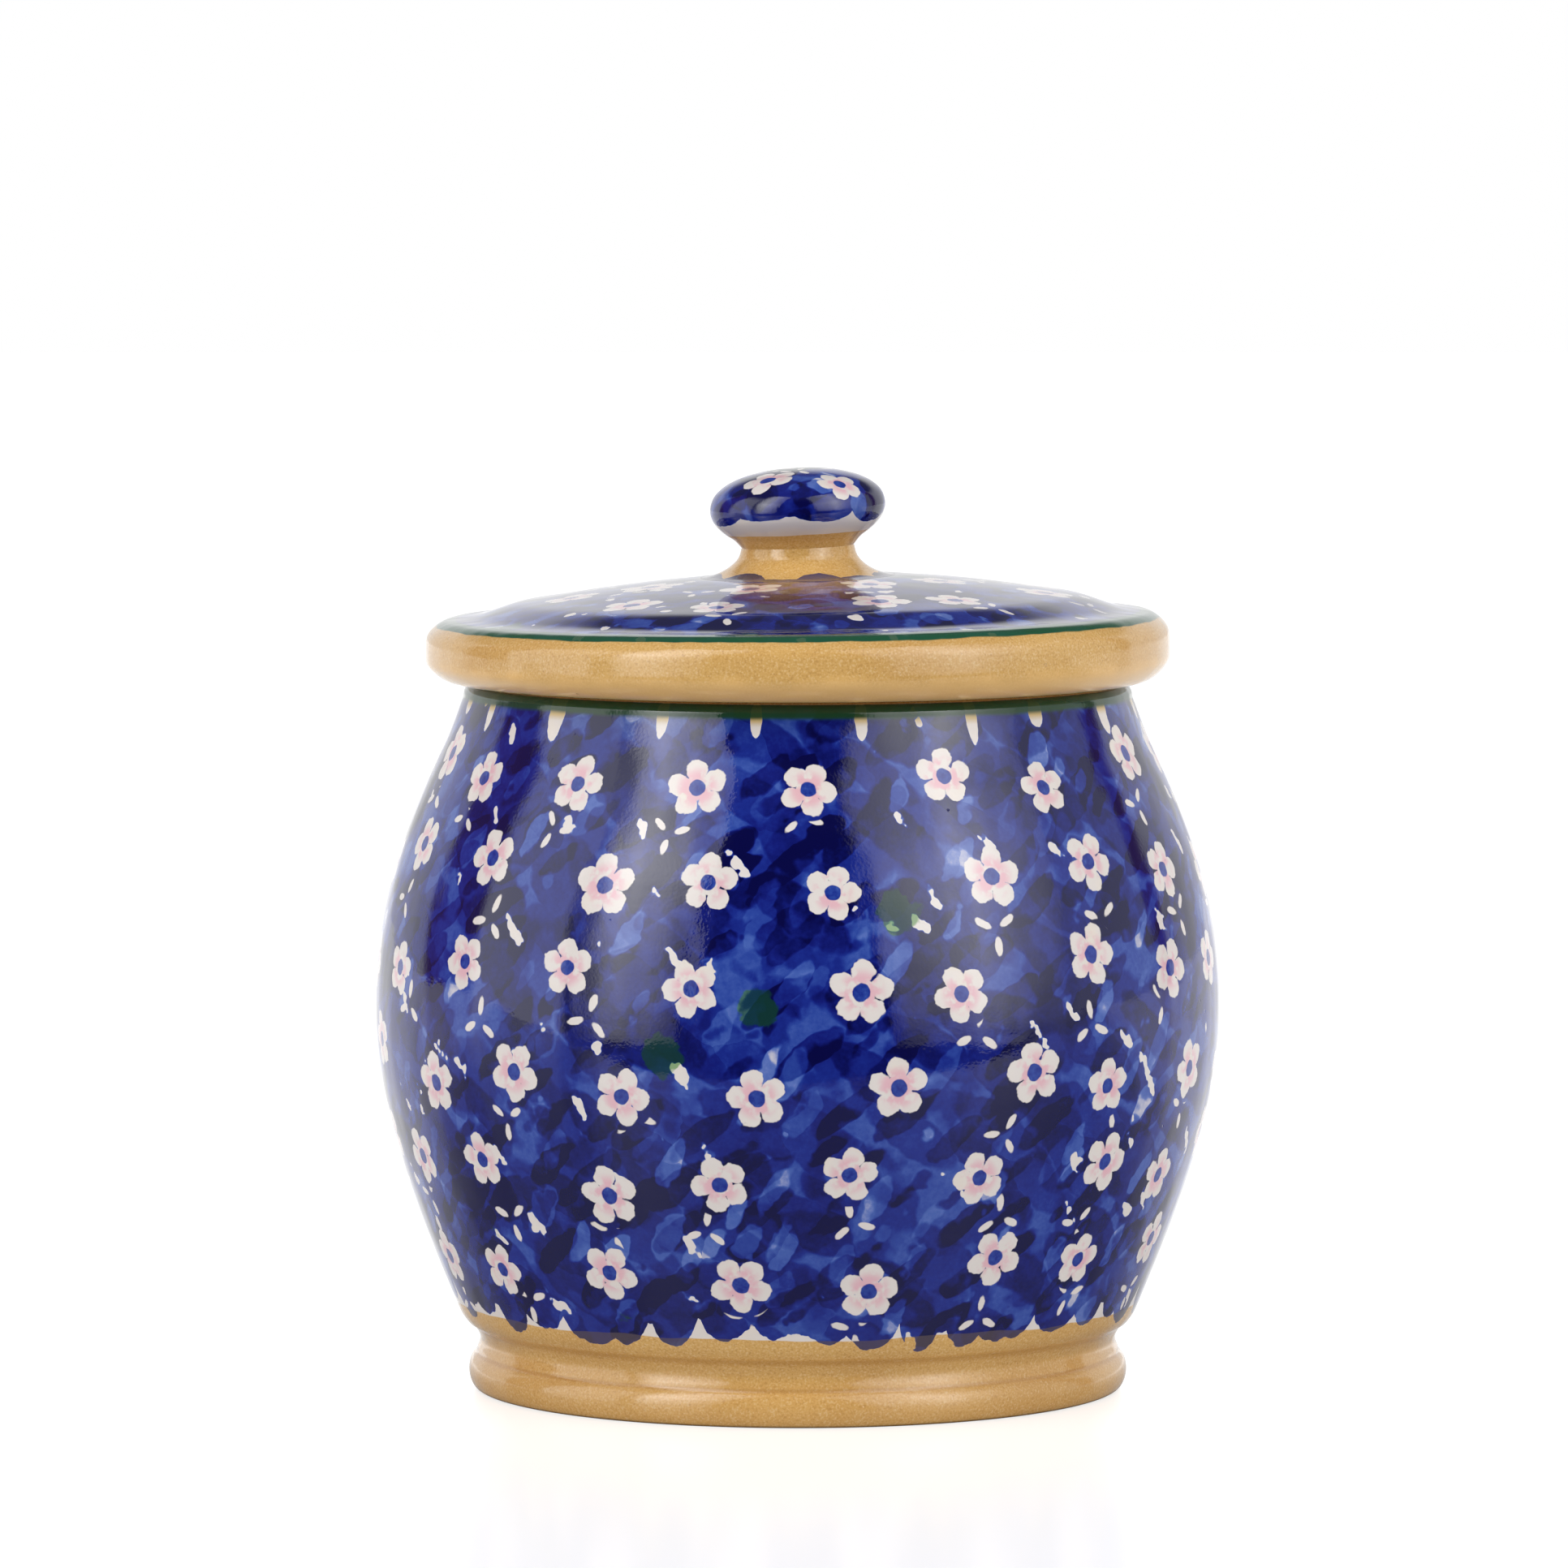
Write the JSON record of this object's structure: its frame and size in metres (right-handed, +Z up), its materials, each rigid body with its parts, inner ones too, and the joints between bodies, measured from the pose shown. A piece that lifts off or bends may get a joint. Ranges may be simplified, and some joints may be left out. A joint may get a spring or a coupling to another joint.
{
  "type": "lidded jar",
  "caption": "Round-bellied glazed earthenware storage jar on a turned foot, with a loose domed lid whose flange drops into the mouth and whose knob lifts it off.",
  "frame": {"origin": "centre of the foot ring on the surface that the jar stands on", "axes": "+Z up along the turning axis of the jar and the lid, X and Y level"},
  "size_m": [0.165, 0.165, 0.1798],
  "materials": {
    "jar_glaze": "clear gloss glaze over sponged cobalt and cream slip, bare buff clay at the foot",
    "lid_glaze": "clear gloss glaze over buff clay at the rim and sponged cobalt and cream slip on top",
    "knob_glaze": "clear gloss glaze over sponged cobalt and cream slip, bare buff clay at the neck"
  },
  "bodies": {
    "jar": {"jar_body": "jar_glaze"},
    "lid": {"lid": "lid_glaze", "lid_knob": "knob_glaze"}
  },
  "joints": [
    {"name": "lid_lift", "type": "slide", "parent": "jar", "child": "lid", "axis": [0, 0, 1], "range_m": [0, 0.15]}
  ]
}
